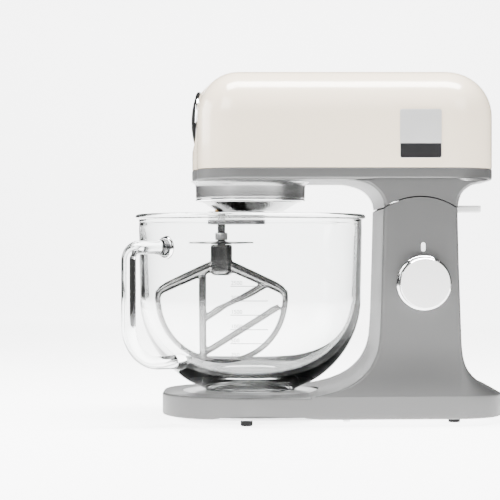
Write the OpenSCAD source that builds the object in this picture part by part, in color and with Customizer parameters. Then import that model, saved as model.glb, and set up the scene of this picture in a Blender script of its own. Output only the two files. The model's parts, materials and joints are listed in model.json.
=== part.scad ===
// Tilt-head stand mixer: a planetary flat beater over a glass bowl, driven by a belt and gears.
// X runs from the front (-) to the back (+), Y across, Z up. The origin is on the ground under
// the middle of the mixer. Inside the modules X is measured from the axis of the bowl.

/* [Overall] */
// Height of the whole mixer
total_h = 354; // [352:1:356]
// Bowl axis back to the end of the base
base_back = 254; // [252:1:256]
// Bowl axis forward to the front of the base
base_front = 89.8; // [88:0.1:92]

/* [Base] */
// Half width of the base at the bowl
base_front_hw = 108; // [106:1:110]
// Half width of the base at the back
base_back_hw = 87; // [86:1:90]
// Height of the base's lower edge above the ground
base_low = 6.8; // [6:0.1:8]
// Height of the base's flat top
deck_z = 29; // [28.5:0.1:29.5]
// Wall thickness of the cast housings
wall = 3.2; // [3:0.1:3.4]

/* [Column and hinge] */
// Bowl axis back to the hinge axis
pivot_x = 168.3; // [168:0.1:169]
// Height of the hinge axis
pivot_z = 163.6; // [163:0.1:164]
// Radius of the column's round top about the hinge axis
dome_r = 62.3; // [62:0.1:62.6]
// Radius of the hinge pin
hinge_pin_r = 6; // [5.5:0.5:6]
// Half width of the hinge arm
arm_hw = 9; // [8:0.5:9]
// Half width of the column at the hinge
column_hw = 82.5; // [82:0.1:82.8]

/* [Head] */
// Bowl axis forward to the front of the head
head_front = 60.3; // [60:0.1:61]
// Bowl axis back to the end of the head
head_back = 244.9; // [243:0.1:246]
// Half width of the head
head_hw = 83; // [82:1:84]
// Underside of the head
head_low = 243.4; // [243:0.1:244]
// Seam between the silver frame and the coloured cover
cover_low = 255; // [254:0.5:256]
// Height of the outlet's axis
outlet_z = 305; // [304:0.5:306]

/* [Bowl] */
// Outer radius of the rolled rim
rim_r = 118.9; // [118:0.1:119.5]
// Height of the rim
rim_z = 210.3; // [209.5:0.1:211]
// Radius of the handle's upright from the bowl axis
handle_reach = 162; // [160:0.5:163]
// Angle of the handle from straight ahead
handle_turn = 43; // [40:1:46]
// Radius of the seat plate
seat_r = 69.9; // [69:0.1:70.5]

/* [Planetary drive] */
// Tooth module of every gear
gear_m = 1.5; // [1.5]
// Teeth on the fixed ring
ring_teeth = 60; // [60]
// Teeth on the planet pinion
planet_teeth = 20; // [20]
// Teeth on the main gear
main_teeth = 42; // [42]
// Teeth on the drive pinion
pinion_teeth = 14; // [14]
// Radius of the large belt pulley
big_pulley_r = 36; // [35:0.5:36.5]
// Belt reduction
belt_ratio = 2.5; // [2.4:0.1:2.6]

/* [Beater] */
// Half width of the beater
beater_hw = 69; // [68:0.5:70]
// Lowest point of the beater
beater_low = 48; // [47:0.5:49]
// Thickness of the beater's bars across the beater's plane
beater_t = 11; // [9:0.5:12]

/* [Hidden] */
$fn = 64;
hull_fn = 32;
e = 0.05;
run = 0.05;      // radial running clearance
seat_fit = 0.02; // radial clearance of a fixed fit

rod_r = 7.5;
handle_ahead = handle_reach * cos(handle_turn) + rod_r;
bowl_x = (handle_ahead - base_back) / 2;
planet_x = -gear_m * (ring_teeth - planet_teeth) / 2;
lay_x = gear_m * (main_teeth + pinion_teeth) / 2;
motor_x = 165;
small_pulley_r = big_pulley_r / belt_ratio;

// ---------- helpers ----------

// Moves a child from bowl-axis coordinates to the part's frame
module from_bowl() { translate([bowl_x, 0, 0]) children(); }

// A rod or bore along Y from y0 to y1
module along_y(x, y0, y1, z, r) {
    translate([x, y0, z]) rotate([-90, 0, 0]) cylinder(r = r, h = y1 - y0);
}

// A rod or bore along X from x0 to x1
module along_x(x0, x1, y, z, r) {
    translate([x0, y, z]) rotate([0, 90, 0]) cylinder(r = r, h = x1 - x0);
}

// A rod or bore along Z from z0 to z1
module along_z(x, y, z0, z1, r) { translate([x, y, z0]) cylinder(r = r, h = z1 - z0); }

// A ring along Z
module ring(x, z0, z1, outer, inner) {
    difference() {
        along_z(x, 0, z0, z1, outer);
        along_z(x, 0, z0 - e, z1 + e, inner);
    }
}

// The four corners of a thin rounded slab, for use inside hull()
module slab(z, x0, x1, hw, r) {
    for (x = [x0 + r, x1 - r], y = [-hw + r, hw - r])
        translate([x, y, z]) cylinder(r = r, h = e, $fn = hull_fn);
}

// An XZ outline turned upright and centred on Y
module upright(width) { rotate([90, 0, 0]) linear_extrude(width, center = true) children(); }

function arc(cx, cy, rx, ry, a0, a1, n) =
    [for (i = [0:n]) let (a = a0 + (a1 - a0) * i / n) [cx + rx * cos(a), cy + ry * sin(a)]];

// ---------- gear teeth ----------

pressure = 20;
function involute(a) = tan(a) * 180 / PI - a;
function half_angle(r, pitch_r, half_pitch) =
    let (base_r = pitch_r * cos(pressure))
    half_pitch + involute(pressure) - involute(acos(min(1, base_r / r)));

// Outline of a gear. play narrows each tooth (or widens it, when negative)
module teeth_outline(teeth, out, in, play) {
    pitch_r = teeth * gear_m / 2;
    base_r = pitch_r * cos(pressure);
    half_pitch = 90 / teeth - 90 * play / (PI * pitch_r);
    radii = [pitch_r - in, max(base_r, pitch_r - in * 0.5), pitch_r, pitch_r + out];
    flank = [for (r = radii) [r, half_angle(max(r, base_r), pitch_r, half_pitch)]];
    polygon([
        for (t = [0:teeth - 1]) let (a = 360 * t / teeth)
        for (s = [-1, 1]) for (i = [0:3])
            let (f = s < 0 ? flank[i] : flank[3 - i])
            [f[0] * cos(a + s * f[1]), f[0] * sin(a + s * f[1])]
    ]);
}

// ---------- base ----------

front_corner_r = 87;
back_corner_r = 50;
pin_end = 74;
seat_floor = 19.5;
foot_r = 6;
front_foot = [-3.7, 87];
back_foot = [205.6, 45];
board_posts = [[150, 45], [150, -45], [205, 45], [205, -45]];
screw_spots = [[-60, 52], [-60, -52], [225, 52], [225, -52], [95, 84], [95, -84]];

module base_plan(inset = 0) {
    hull() for (side = [-1, 1]) {
        translate([-base_front + front_corner_r, side * (base_front_hw - front_corner_r)])
            circle(r = front_corner_r - inset);
        translate([base_back - back_corner_r, side * (base_back_hw - back_corner_r)])
            circle(r = back_corner_r - inset);
    }
}

module dome(r) {
    along_y(pivot_x, -90, 90, pivot_z, r);
    translate([0, -90, 0]) cube([300, 180, pivot_z]);
}

module column_outside() {
    intersection() {
        hull() {
            slab(66, 123.8, 210.8, column_hw + 0.4, 5);
            slab(226, 132.4, 205.4, column_hw - 0.2, 5);
        }
        dome(dome_r);
    }
    hull() {
        slab(66, 123.8, 210.8, column_hw + 0.4, 5);
        slab(46, 107, 219, column_hw + 4, 12);
    }
    hull() {
        slab(46, 107, 219, column_hw + 4, 12);
        translate([0, 0, deck_z - 1]) linear_extrude(1) intersection() {
            base_plan(1.5);
            translate([74, -base_front_hw]) square([base_back, 2 * base_front_hw]);
        }
    }
}

module column_inside() {
    intersection() {
        hull() {
            slab(20, 130, 205, column_hw - 2.5, 5);
            slab(226, 135.8, 202, column_hw - 4.5, 5);
        }
        dome(dome_r - wall);
    }
}

module base_housing() {
    plug_r = 9;
    boss_r = 10.5;
    color("silver") from_bowl() difference() {
        union() {
            difference() {
                union() {
                    translate([0, 0, base_low]) linear_extrude(deck_z - base_low) base_plan();
                    column_outside();
                }
                translate([0, 0, base_low - 1])
                    linear_extrude(deck_z - wall - base_low + 1) base_plan(wall);
                column_inside();
            }
            along_z(0, 0, seat_floor - wall, deck_z - wall, seat_r + wall);
            along_y(pivot_x, -column_hw + 2, -arm_hw - 1.6, pivot_z, boss_r);
            along_y(pivot_x, arm_hw + 1.6, column_hw - 2, pivot_z, boss_r);
            for (p = screw_spots) along_z(p.x, p.y, 9.1, deck_z - 1, 5);
        }
        along_z(0, 0, seat_floor, deck_z + 5, seat_r + 0.1);
        for (a = [45:90:315]) rotate(a) along_z(58, 0, 10, 25, 2.1);
        along_y(pivot_x, -pin_end, 90, pivot_z, hinge_pin_r + seat_fit);
        along_y(pivot_x, pin_end, 90, pivot_z, plug_r + seat_fit);
        // slot in which the hinge arm swings back
        translate([pivot_x - arm_hw - 2, -arm_hw - 1, pivot_z + 17])
            cube([60, 2 * arm_hw + 2, 60]);
        translate([pivot_x - 15, -arm_hw - 1.6, pivot_z - 15]) cube([45, 2 * arm_hw + 3.2, 60]);
        along_y(knob_x, -90, -70, knob_z, 4.5 + seat_fit);
        light_shape(light_x, -90, -70, light_z, 2.15 + seat_fit);
        along_x(240, 260, gland_y, gland_z, 6 + seat_fit);
        for (p = screw_spots) along_z(p.x, p.y, 5, 22, 1.8 + seat_fit);
    }
}

module base_plate() {
    color("dimgray") from_bowl() difference() {
        union() {
            translate([0, 0, base_low]) linear_extrude(2.2) base_plan(wall + 0.2);
            for (p = board_posts) along_z(p.x, p.y, base_low, 17, 3.5);
        }
        for (p = screw_spots) along_z(p.x, p.y, 5, 12, 2.1);
        for (p = [front_foot, back_foot], s = [-1, 1]) along_z(p.x, s * p.y, 5, 12, 2.5 + seat_fit);
    }
}

module rubber_feet() {
    color("black") from_bowl() for (p = [front_foot, back_foot], s = [-1, 1])
        translate([p.x, s * p.y, 0]) rotate_extrude()
            polygon([[0, 0], [foot_r - 0.8, 0], [foot_r, 0.8], [foot_r, base_low],
                [2.5, base_low], [2.5, 10.8], [0, 10.8]]);
}

module base_screws() {
    color("gainsboro") from_bowl() for (p = screw_spots) {
        along_z(p.x, p.y, base_low - 2.4, base_low, 3.6);
        along_z(p.x, p.y, base_low - 0.1, 21, 1.8);
    }
}

// ---------- bowl seat ----------

foot_ring_r = 44.5;
lug_r = 48.5;
lug_z = [22.1, 25.8];
lug_hw = 6;
unlock_turn = 25;

module bowl_seat() {
    seat_low = lug_z[0] - 0.1;
    lip_z = lug_z[1] + 0.6;
    top = deck_z + 0.6;
    color("lightgray") from_bowl() difference() {
        rotate_extrude($fn = 96) polygon([[0, seat_floor], [seat_r, seat_floor],
            [seat_r, top - 0.6], [seat_r - 0.6, top], [foot_ring_r + 0.8, top],
            [foot_ring_r + 0.8, lip_z], [lug_r + 1, lip_z], [lug_r + 1, seat_low], [0, seat_low]]);
        for (a = [0:120:240]) rotate(a + unlock_turn)
            translate([foot_ring_r - 2, -lug_hw - 1.5, seat_low]) cube([6.9, 2 * lug_hw + 3, 12]);
        for (a = [45:90:315]) rotate(a) along_z(58, 0, seat_floor - 1, 26, 2 + seat_fit);
    }
}

module seat_screws() {
    color("gainsboro") from_bowl() for (a = [45:90:315]) rotate(a) {
        along_z(58, 0, 13.6, seat_floor - wall, 3.8);
        along_z(58, 0, 14, 25.6, 2);
    }
}

// ---------- hinge ----------

module hinge_pin() {
    color("silver") from_bowl() along_y(pivot_x, -pin_end + 0.2, pin_end - 0.2, pivot_z, hinge_pin_r);
}

module hinge_pin_plug() {
    color("silver") from_bowl() along_y(pivot_x, pin_end + 0.1, column_hw, pivot_z, 9);
}

bush_r = 8;

module hinge_bushes() {
    color("peru") from_bowl() for (s = [0, 1]) mirror([0, s, 0]) difference() {
        union() {
            along_y(pivot_x, 0.5, arm_hw + 1.2, pivot_z, bush_r);
            along_y(pivot_x, arm_hw + 0.1, arm_hw + 1.2, pivot_z, bush_r + 2);
        }
        along_y(pivot_x, -1, arm_hw + 3, pivot_z, hinge_pin_r + run);
    }
}

flange_z = 231;
arm_spots = [[18, 16], [18, -16], [-18, 16], [-18, -16]];

module hinge_arm() {
    color("gray") from_bowl() difference() {
        union() {
            along_y(pivot_x, -arm_hw, arm_hw, pivot_z, 13);
            translate([pivot_x - arm_hw, -arm_hw, pivot_z])
                cube([2 * arm_hw, 2 * arm_hw, flange_z - pivot_z + 1]);
            translate([pivot_x - 24, -22, flange_z]) cube([48, 44, 6]);
        }
        along_y(pivot_x, -20, 20, pivot_z, bush_r + seat_fit);
        for (p = arm_spots) along_z(pivot_x + p.x, p.y, 229, 240, 2.1);
    }
}

module arm_screws() {
    color("gainsboro") from_bowl() for (p = arm_spots) {
        along_z(pivot_x + p.x, p.y, 226, flange_z + 6.1, 2);
        along_z(pivot_x + p.x, p.y, flange_z + 6, flange_z + 8.4, 3.8);
    }
}

// ---------- inside the column ----------

knob_x = 171.3;
knob_z = 140.8;
light_x = 170.8;
light_z = 176.5;
panel_y = column_hw + 0.3;
gland_y = 30;
gland_z = 17;

module control_board() {
    color("darkgreen") from_bowl() {
        difference() {
            translate([142, -52, 17]) cube([70, 104, 1.6]);
            for (p = board_posts) along_z(p.x, p.y, 15, 20, 1.2);
        }
        translate([152, -30, 18.6]) cube([26, 30, 24]);
        translate([184, -34, 18.6]) cube([4, 60, 34]);
        for (y = [12, 28]) along_z(160, y, 18.5, 44, 7);
    }
}

module speed_control() {
    color("dimgray") from_bowl() difference() {
        union() {
            along_y(knob_x, -panel_y + 5, -panel_y + 17, knob_z, 8);
            along_y(knob_x, -panel_y, -panel_y + 5, knob_z, 4.5);
        }
        along_y(knob_x, -panel_y - 1, -panel_y + 12, knob_z, 3 + run);
    }
}

// A pill standing on end, along Y
module light_shape(x, y0, y1, z, r) {
    for (s = [-1, 1]) along_y(x, y0, y1, z + s * 2.35, r);
    translate([x - r, y0, z - 2.35]) cube([2 * r, y1 - y0, 4.7]);
}

module indicator_light() {
    color("white") from_bowl() light_shape(light_x, -panel_y, -panel_y + 8, light_z, 2.15);
}

module cord_gland() {
    color("black") from_bowl() difference() {
        union() {
            along_x(base_back - 9, base_back - 0.5, gland_y, gland_z, 6);
            along_x(base_back - 9, base_back - 6, gland_y, gland_z, 8);
        }
        along_x(base_back - 12, base_back + 1, gland_y, gland_z, 3.6);
    }
}

module latch_catch() {
    top_r = dome_r - wall - 0.1;
    color("gray") from_bowl() for (s = [0, 1]) mirror([0, s, 0])
        translate([pivot_x, arm_hw + 1.1, pivot_z]) rotate([90, 0, 0]) mirror([0, 0, 1])
            linear_extrude(12) polygon(concat(arc(0, 0, top_r, top_r, 76, 64, 6),
                arc(0, 0, top_r - 5, top_r - 5, 64, 76, 6)));
}

module interlock_switch() {
    color("black") from_bowl() {
        translate([138.5, 14, 188]) cube([10, 6.4, 20]);
        translate([148.5, 16, 200]) cube([2, 2.4, 4]);
    }
}

// ---------- head ----------

cover_r = [50, 40, 49];
cover_gap = 0.15;
post_spots = [[-30, 55], [-30, -55], [214, 52], [214, -52]];

module head_plan(inset = 0) {
    hull() for (x = [-head_front + 50, head_back - 50], y = [-head_hw + 50, head_hw - 50])
        translate([x, y]) circle(r = 50 - inset);
}

module cover_form(inset) {
    r = [for (v = cover_r) v - inset];
    hull() {
        slab(cover_low + cover_gap - inset, -head_front + inset, head_back - inset, head_hw - inset, 50 - inset);
        for (x = [-head_front + cover_r.x, head_back - cover_r.x],
             y = [-head_hw + cover_r.y, head_hw - cover_r.y])
            translate([x, y, total_h - cover_r.z]) scale([r.x / r.z, r.y / r.z, 1])
                sphere(r = r.z, $fn = 40);
    }
}

module head_cover() {
    color("antiquewhite") from_bowl() difference() {
        union() {
            difference() {
                cover_form(0);
                difference() {
                    cover_form(3);
                    for (p = post_spots) along_z(p.x, p.y, cover_low - 5, total_h, 5);
                }
            }
            along_x(-head_front + 2, -head_front + 22, 0, outlet_z, 34.5);
        }
        along_x(-head_front - 5, -head_front + 30, 0, outlet_z, 31.5);
        for (p = post_spots) along_z(p.x, p.y, cover_low - 5, cover_low + 16, 2 + seat_fit);
    }
}

collar_r = 56.4;
collar_low = 223;
ring_outer = 52.9;
web_low = 236;
bearing_r = 16;
neck_hw = 82.1;
lever_x = 197.8;
lever_z = 226;

module neck_outside() {
    hull() {
        slab(206, 132.4, 205.6, neck_hw, 5);
        slab(226, 130.6, 208, neck_hw + 0.3, 5);
    }
    hull() {
        slab(225.7, 130.6, 208, neck_hw + 0.3, 5);
        slab(head_low + 0.4, 98, 241, head_hw - 1, 40);
    }
}

module head_chassis() {
    floor_t = 3;
    gap = 1.2;
    color("silver") from_bowl() difference() {
        union() {
            translate([0, 0, head_low]) linear_extrude(floor_t) head_plan();
            translate([0, 0, head_low]) linear_extrude(cover_low - head_low) difference() {
                head_plan();
                head_plan(wall);
            }
            along_z(0, 0, collar_low, head_low + 1, collar_r);
            neck_outside();
            for (p = post_spots) along_z(p.x, p.y, head_low, cover_low, 6.5);
        }
        along_y(pivot_x, -91, 91, pivot_z, dome_r + gap);
        along_z(0, 0, collar_low - 1, web_low, ring_outer + 0.1);
        along_z(0, 0, web_low - 1, 250, bearing_r + seat_fit);
        hull() {
            slab(flange_z, 139, 201, 74, 8);
            slab(cover_low, 134, 204, 74, 8);
        }
        translate([pivot_x - arm_hw - 0.4, -arm_hw - 0.4, 215])
            cube([2 * arm_hw + 0.8, 2 * arm_hw + 0.8, 20]);
        for (p = arm_spots) along_z(pivot_x + p.x, p.y, 225, 235, 2 + seat_fit);
        // room for the release lever, its spring and its nose
        translate([lever_x - 11, -12.6, 205]) cube([18, 25.2, 34]);
        translate([lever_x + 5, -12.4, 204]) cube([13, 24.8, 30.3]);
        along_y(lever_x, -20, 20, lever_z, 2 + seat_fit);
        for (p = post_spots) {
            along_z(p.x, p.y, head_low - 1, cover_low + 1, 2.1);
            along_z(p.x, p.y, head_low - 1, head_low + 4.6, 4);
        }
    }
}

module cover_screws() {
    color("gainsboro") from_bowl() for (p = post_spots) {
        along_z(p.x, p.y, head_low + 2.2, head_low + 4.6, 3.8);
        along_z(p.x, p.y, head_low + 4.5, cover_low + 14, 2);
    }
}

module badge_plate() {
    color("gainsboro") from_bowl() translate([147.8, -head_hw - 1.2, 264.4]) cube([41, 1.2, 48.4]);
}

// ---------- accessory outlet ----------

cap_back = -head_front + 8.5;

module outlet_socket() {
    color("dimgray") from_bowl() difference() {
        union() {
            along_x(cap_back + 0.3, cap_back + 4, 0, outlet_z, 31.3);
            along_x(cap_back + 0.3, cap_back + 20, 0, outlet_z, 24);
        }
        along_x(cap_back - 1, cap_back + 30, 0, outlet_z, 20.4);
    }
}

module outlet_cap() {
    r = 31;
    rise = 4;
    color("gainsboro") from_bowl() translate([cap_back, 0, outlet_z]) rotate([0, -90, 0]) {
        sphere_r = (r * r + rise * rise) / (2 * rise);
        edge = asin(r / sphere_r);
        rotate_extrude() polygon(concat([[0, 0], [r, 0]],
            arc(0, 5.5 + rise - sphere_r, sphere_r, sphere_r, 90 - edge, 90, 8)));
        translate([0, 0, -10]) difference() {
            cylinder(r = 20, h = 10.1);
            translate([0, 0, -1]) cylinder(r = 18, h = 9);
        }
    }
}

// ---------- gearbox ----------

box_top = 272;
gear_z = 256;
gear_h = 10;
shaft_r = 6;
lay_r = 4;
lay_bearing_r = 8;
floor_z = 246.4;

module box_plan(inset) {
    hull() {
        circle(r = 37 - inset);
        translate([lay_x, 0]) circle(r = 17 - inset);
    }
}

module gearbox_housing() {
    color("slategray") from_bowl() difference() {
        translate([0, 0, floor_z]) linear_extrude(box_top - floor_z) box_plan(0);
        translate([0, 0, floor_z + 3]) linear_extrude(40) difference() {
            box_plan(3);
            translate([lay_x, 0]) circle(r = lay_bearing_r + 3);
        }
        along_z(lay_x, 0, 254.2, 300, lay_bearing_r + 4);
        along_z(lay_x, 0, 248.2, 300, lay_bearing_r + seat_fit);
        along_z(0, 0, 240, 260, 9);
    }
}

module gearbox_lid() {
    color("slategray") from_bowl() difference() {
        union() {
            translate([0, 0, box_top]) linear_extrude(3) box_plan(0);
            along_z(0, 0, box_top, box_top + 10, 17);
            along_z(lay_x, 0, box_top, box_top + 10, 11);
        }
        along_z(0, 0, box_top + 2, box_top + 20, 14 + seat_fit);
        along_z(0, 0, box_top - 1, box_top + 20, shaft_r + 3);
        along_z(lay_x, 0, box_top + 2, box_top + 20, lay_bearing_r + seat_fit);
        along_z(lay_x, 0, box_top - 1, box_top + 20, lay_r + 1.5);
    }
}

module ring_gear() {
    color("goldenrod") from_bowl() translate([0, 0, 224.5]) linear_extrude(10) difference() {
        circle(r = ring_outer);
        teeth_outline(ring_teeth, 1.25 * gear_m, 0.9 * gear_m, -0.15);
    }
}

module gearbox_bearings() {
    color("gray") from_bowl() {
        ring(0, web_low, web_low + 10, bearing_r, shaft_r + run);
        ring(0, box_top + 2, box_top + 10, 14, shaft_r + run);
        ring(lay_x, 248.2, 254.2, lay_bearing_r, lay_r + run);
        ring(lay_x, box_top + 2, box_top + 8, lay_bearing_r, lay_r + run);
    }
}

module main_gear() {
    color("goldenrod") from_bowl() difference() {
        union() {
            translate([0, 0, gear_z]) linear_extrude(gear_h)
                rotate(180 / main_teeth) teeth_outline(main_teeth, 0.8 * gear_m, 1.25 * gear_m, 0.2);
            along_z(0, 0, gear_z - 4, gear_z + gear_h + 4, 12);
        }
        along_z(0, 0, gear_z - 5, gear_z + gear_h + 5, shaft_r + seat_fit);
    }
}

module drive_pinion() {
    color("gray") from_bowl() translate([lay_x, 0, gear_z]) difference() {
        linear_extrude(gear_h) teeth_outline(pinion_teeth, 0.9 * gear_m, 1.2 * gear_m, 0.2);
        translate([0, 0, -1]) cylinder(r = lay_r + seat_fit, h = 20);
    }
}

module central_shaft() {
    color("silver") from_bowl() along_z(0, 0, 206, 300, shaft_r);
}

module layshaft() {
    color("silver") from_bowl() along_z(lay_x, 0, 248.6, 343, lay_r);
}

belt_z = 329.3;
belt_h = 9.4;
belt_t = 1.8;

// A flanged flat pulley
module pulley(x, r) {
    color("dimgray") from_bowl() difference() {
        union() {
            along_z(x, 0, belt_z - 0.3, belt_z + belt_h + 0.3, r);
            for (z = [belt_z - 1.8, belt_z + belt_h + 0.3]) along_z(x, 0, z, z + 1.5, r + 2.6);
        }
        along_z(x, 0, belt_z - 3, belt_z + belt_h + 5, lay_r + seat_fit);
    }
}

module large_pulley() { pulley(lay_x, big_pulley_r); }
module motor_pulley() { pulley(motor_x, small_pulley_r); }

module belt_plan(grow) {
    hull() {
        translate([lay_x, 0]) circle(r = big_pulley_r + grow);
        translate([motor_x, 0]) circle(r = small_pulley_r + grow);
    }
}

module drive_belt() {
    color("black") from_bowl() translate([0, 0, belt_z]) linear_extrude(belt_h) difference() {
        belt_plan(0.3 + belt_t);
        belt_plan(0.3);
    }
}

// ---------- motor ----------

armature_r = 22;
stator_z = [270, 304];

module motor_stator() {
    color("lightslategray") from_bowl() difference() {
        union() {
            along_z(motor_x, 0, stator_z[0], stator_z[1], 38);
            translate([motor_x - 8, -40, stator_z[0]]) cube([16, 80, stator_z[1] - stator_z[0]]);
        }
        along_z(motor_x, 0, stator_z[0] - 1, stator_z[1] + 1, armature_r + 1);
    }
}

module field_coils() {
    color("peru") from_bowl() {
        ring(motor_x, stator_z[0] - 6, stator_z[0], 34, 25);
        ring(motor_x, stator_z[1], stator_z[1] + 6, 34, 25);
    }
}

module motor_bracket_lower() {
    color("gray") from_bowl() difference() {
        union() {
            translate([motor_x - 34, -48, floor_z]) cube([70, 96, 3]);
            along_z(motor_x, 0, floor_z, 254, 11);
        }
        along_z(motor_x, 0, 248, 260, lay_bearing_r + seat_fit);
        for (x = [motor_x - 20, motor_x + 22], s = [-1, 1]) along_z(x, s * 30, 240, 260, 6);
    }
}

module motor_bracket_upper() {
    top = 323;
    color("gray") from_bowl() difference() {
        union() {
            translate([motor_x - 16, -44, top - 3.5]) cube([32, 88, 3.5]);
            for (s = [-1, 1]) translate([motor_x - 10, s * 42 - 2, floor_z + 3])
                cube([20, 4, top - floor_z - 4]);
            along_z(motor_x, 0, top - 3.5, 326.5, 11);
        }
        along_z(motor_x, 0, top - 2.5, 340, lay_bearing_r + seat_fit);
        along_z(motor_x, 0, top - 5, 340, lay_r + 1.5);
    }
}

module motor_bearings() {
    color("gray") from_bowl() {
        ring(motor_x, 248, 254, lay_bearing_r, lay_r + run);
        ring(motor_x, 320.5, 326.5, lay_bearing_r, lay_r + run);
    }
}

module brush_holders() {
    color("saddlebrown") from_bowl() for (s = [0, 1]) mirror([0, s, 0])
        translate([motor_x - 4, 10.5, 311.5]) cube([8, 14, 8]);
}

module armature() {
    color("darkred") from_bowl() difference() {
        along_z(motor_x, 0, stator_z[0], stator_z[1], armature_r);
        along_z(motor_x, 0, stator_z[0] - 1, stator_z[1] + 1, lay_r + seat_fit);
    }
}

module commutator() { color("peru") from_bowl() ring(motor_x, 311, 318.3, 10, lay_r + seat_fit); }

module motor_shaft() { color("silver") from_bowl() along_z(motor_x, 0, 248.6, 343, lay_r); }

module cooling_fan() {
    blades = 9;
    color("dimgray") from_bowl() {
        ring(motor_x, 255.2, 256.8, 30, lay_r + seat_fit);
        ring(motor_x, 256.7, 262, 9, lay_r + seat_fit);
        for (i = [0:blades - 1]) translate([motor_x, 0, 256.7]) rotate(360 / blades * i)
            translate([8.5, -0.8, 0]) cube([20.5, 1.6, 5.2]);
    }
}

// ---------- release lever ----------

module lever_pin() { color("silver") from_bowl() along_y(lever_x, -19.5, 19.5, lever_z, 2); }

module lever_spring() {
    color("silver") from_bowl() for (y = [8.9, 10.1, 11.3]) translate([lever_x, y, lever_z])
        rotate([90, 0, 0]) rotate_extrude() translate([4, 0]) circle(r = 0.5, $fn = 16);
}

module release_lever() {
    color("silver") from_bowl() difference() {
        union() {
            along_y(lever_x, -8, 8, lever_z, 5);
            upright(16) polygon([[lever_x - 3, lever_z], [lever_x + 3, lever_z + 4],
                [lever_x + 11, lever_z - 2], [211.8, 219.2], [211.8, 213], [lever_x + 4, lever_z - 4]]);
            upright(23) polygon([[211, 219.3], [235, 218.7], [236.6, 218], [237.4, 216.4],
                [237.4, 214.4], [236.6, 212.8], [235, 212], [211.4, 212.4]]);
            upright(16) polygon([[lever_x - 4.5, lever_z], [lever_x, lever_z - 4.6],
                [lever_x - 5, lever_z - 9.2], [lever_x - 8.6, lever_z - 7.2]]);
        }
        along_y(lever_x, -20, 20, lever_z, 2 + run);
    }
}

// ---------- planetary head ----------

block_r = 20;
block_x = [-24, -4.5];
block_z = [198.5, 213];
dish_top = 223.6;

module planet_hub() {
    color("lightgray") from_bowl() difference() {
        rotate_extrude($fn = 96)
            polygon([[0, block_z[1]], [34, block_z[1]], [49.6, 222.6], [49.6, dish_top], [0, dish_top]]);
        along_z(0, 0, 200, 230, shaft_r + seat_fit);
        along_z(planet_x, 0, 200, 230, 7 + seat_fit);
    }
}

module socket_block() {
    color("silver") from_bowl() difference() {
        union() {
            for (x = block_x) along_z(x, 0, block_z[0], block_z[1], block_r);
            translate([block_x[0], -block_r, block_z[0]])
                cube([block_x[1] - block_x[0], 2 * block_r, block_z[1] - block_z[0]]);
        }
        along_z(planet_x, 0, 190, 220, 8.4);
        along_z(0, 0, 206, 220, shaft_r + seat_fit);
    }
}

module spindle_bush() { color("peru") from_bowl() ring(planet_x, block_z[1] + 0.2, dish_top, 7, 5 + run); }

module tool_spindle() {
    color("silver") from_bowl() difference() {
        union() {
            along_z(planet_x, 0, 199.5, 213, 8);
            along_z(planet_x, 0, 212.9, 235, 5);
        }
        along_z(planet_x, 0, 190, 211.6, 4 + seat_fit);
    }
}

module planet_pinion() {
    color("gray") from_bowl() translate([planet_x, 0, 225]) difference() {
        linear_extrude(9) teeth_outline(planet_teeth, 0.9 * gear_m, 1.25 * gear_m, 0.15);
        translate([0, 0, -1]) cylinder(r = 5 + seat_fit, h = 12);
    }
}

// ---------- beater ----------

sleeve_r = 11.2;
sleeve_z = [146.6, 178.5];

module beater_shank() { color("gainsboro") from_bowl() along_z(planet_x, 0, 152, 211.4, 4); }

module beater_nut() {
    color("gainsboro") from_bowl() translate([planet_x, 0, 182.8]) difference() {
        cylinder(r = 7.3, h = 6.7, $fn = 6);
        translate([0, 0, -1]) cylinder(r = 4 + seat_fit, h = 10);
    }
}

module splash_disc() {
    color("gainsboro") from_bowl() difference() {
        translate([planet_x, 0, 178.7]) rotate_extrude($fn = 96)
            polygon([[0, 0], [10, 0], [31, 0.8], [33.6, 1.6], [33.6, 2.4], [31, 2.6], [10, 3.6], [0, 3.6]]);
        along_z(planet_x, 0, 170, 190, 4 + seat_fit);
    }
}

shoulder_z = 122;
rim_bar = 6;
arm_bar = 9;

// Outline of the beater: sloping shoulders over half an ellipse
module beater_outline(inset, top_inset) {
    hw = beater_hw - inset;
    drop = shoulder_z - beater_low - inset;
    polygon(concat([[-7, 163 - top_inset], [7, 163 - top_inset], [hw - 2, 134 - top_inset]],
        arc(0, shoulder_z, hw, drop, 0, -180, 28), [[-hw + 2, 134 - top_inset]]));
}

// A straight brace between two points of the outline plane
module brace(from, to, t) {
    run_v = to - from;
    translate(from) rotate(atan2(run_v.y, run_v.x)) translate([0, -t / 2]) square([norm(run_v), t]);
}

module beater_frame() {
    upright_x = -19.5;
    color("gainsboro") from_bowl() difference() {
        union() {
            translate([planet_x, 0, 0]) upright(beater_t) {
                difference() {
                    beater_outline(0, 0);
                    beater_outline(rim_bar, arm_bar);
                }
                intersection() {
                    beater_outline(1, 1);
                    union() {
                        brace([upright_x, 40], [upright_x, 170], 7.2);
                        brace([upright_x, 98], [upright_x + 66, 142.5], 6);
                        brace([upright_x, 60], [upright_x + 66, 104.5], 6);
                    }
                }
            }
            along_z(planet_x, 0, sleeve_z[0], sleeve_z[1], sleeve_r);
        }
        along_z(planet_x, 0, 151, 190, 4 + seat_fit);
    }
}

// ---------- speed knob ----------

module speed_knob() {
    back = panel_y + 0.5;
    color("whitesmoke") from_bowl() {
        translate([knob_x, -back, knob_z]) rotate([90, 0, 0]) rotate_extrude($fn = 96)
            polygon([[0, 0], [27, 0], [27, 2.4], [25.4, 3.6], [24.9, 16.4], [24.1, 17.4], [0, 17.4]]);
        along_y(knob_x, -back - 1, -back + 12, knob_z, 3);
    }
}

// ---------- glass bowl ----------

bend_c = [12.44, 124.1];
bend_r = 98.75;
inner_c = [20, 128];
inner_r = 87;
bead_r = 2.65;
inside_low = inner_c.y - inner_r;
under_z = 31;

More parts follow.
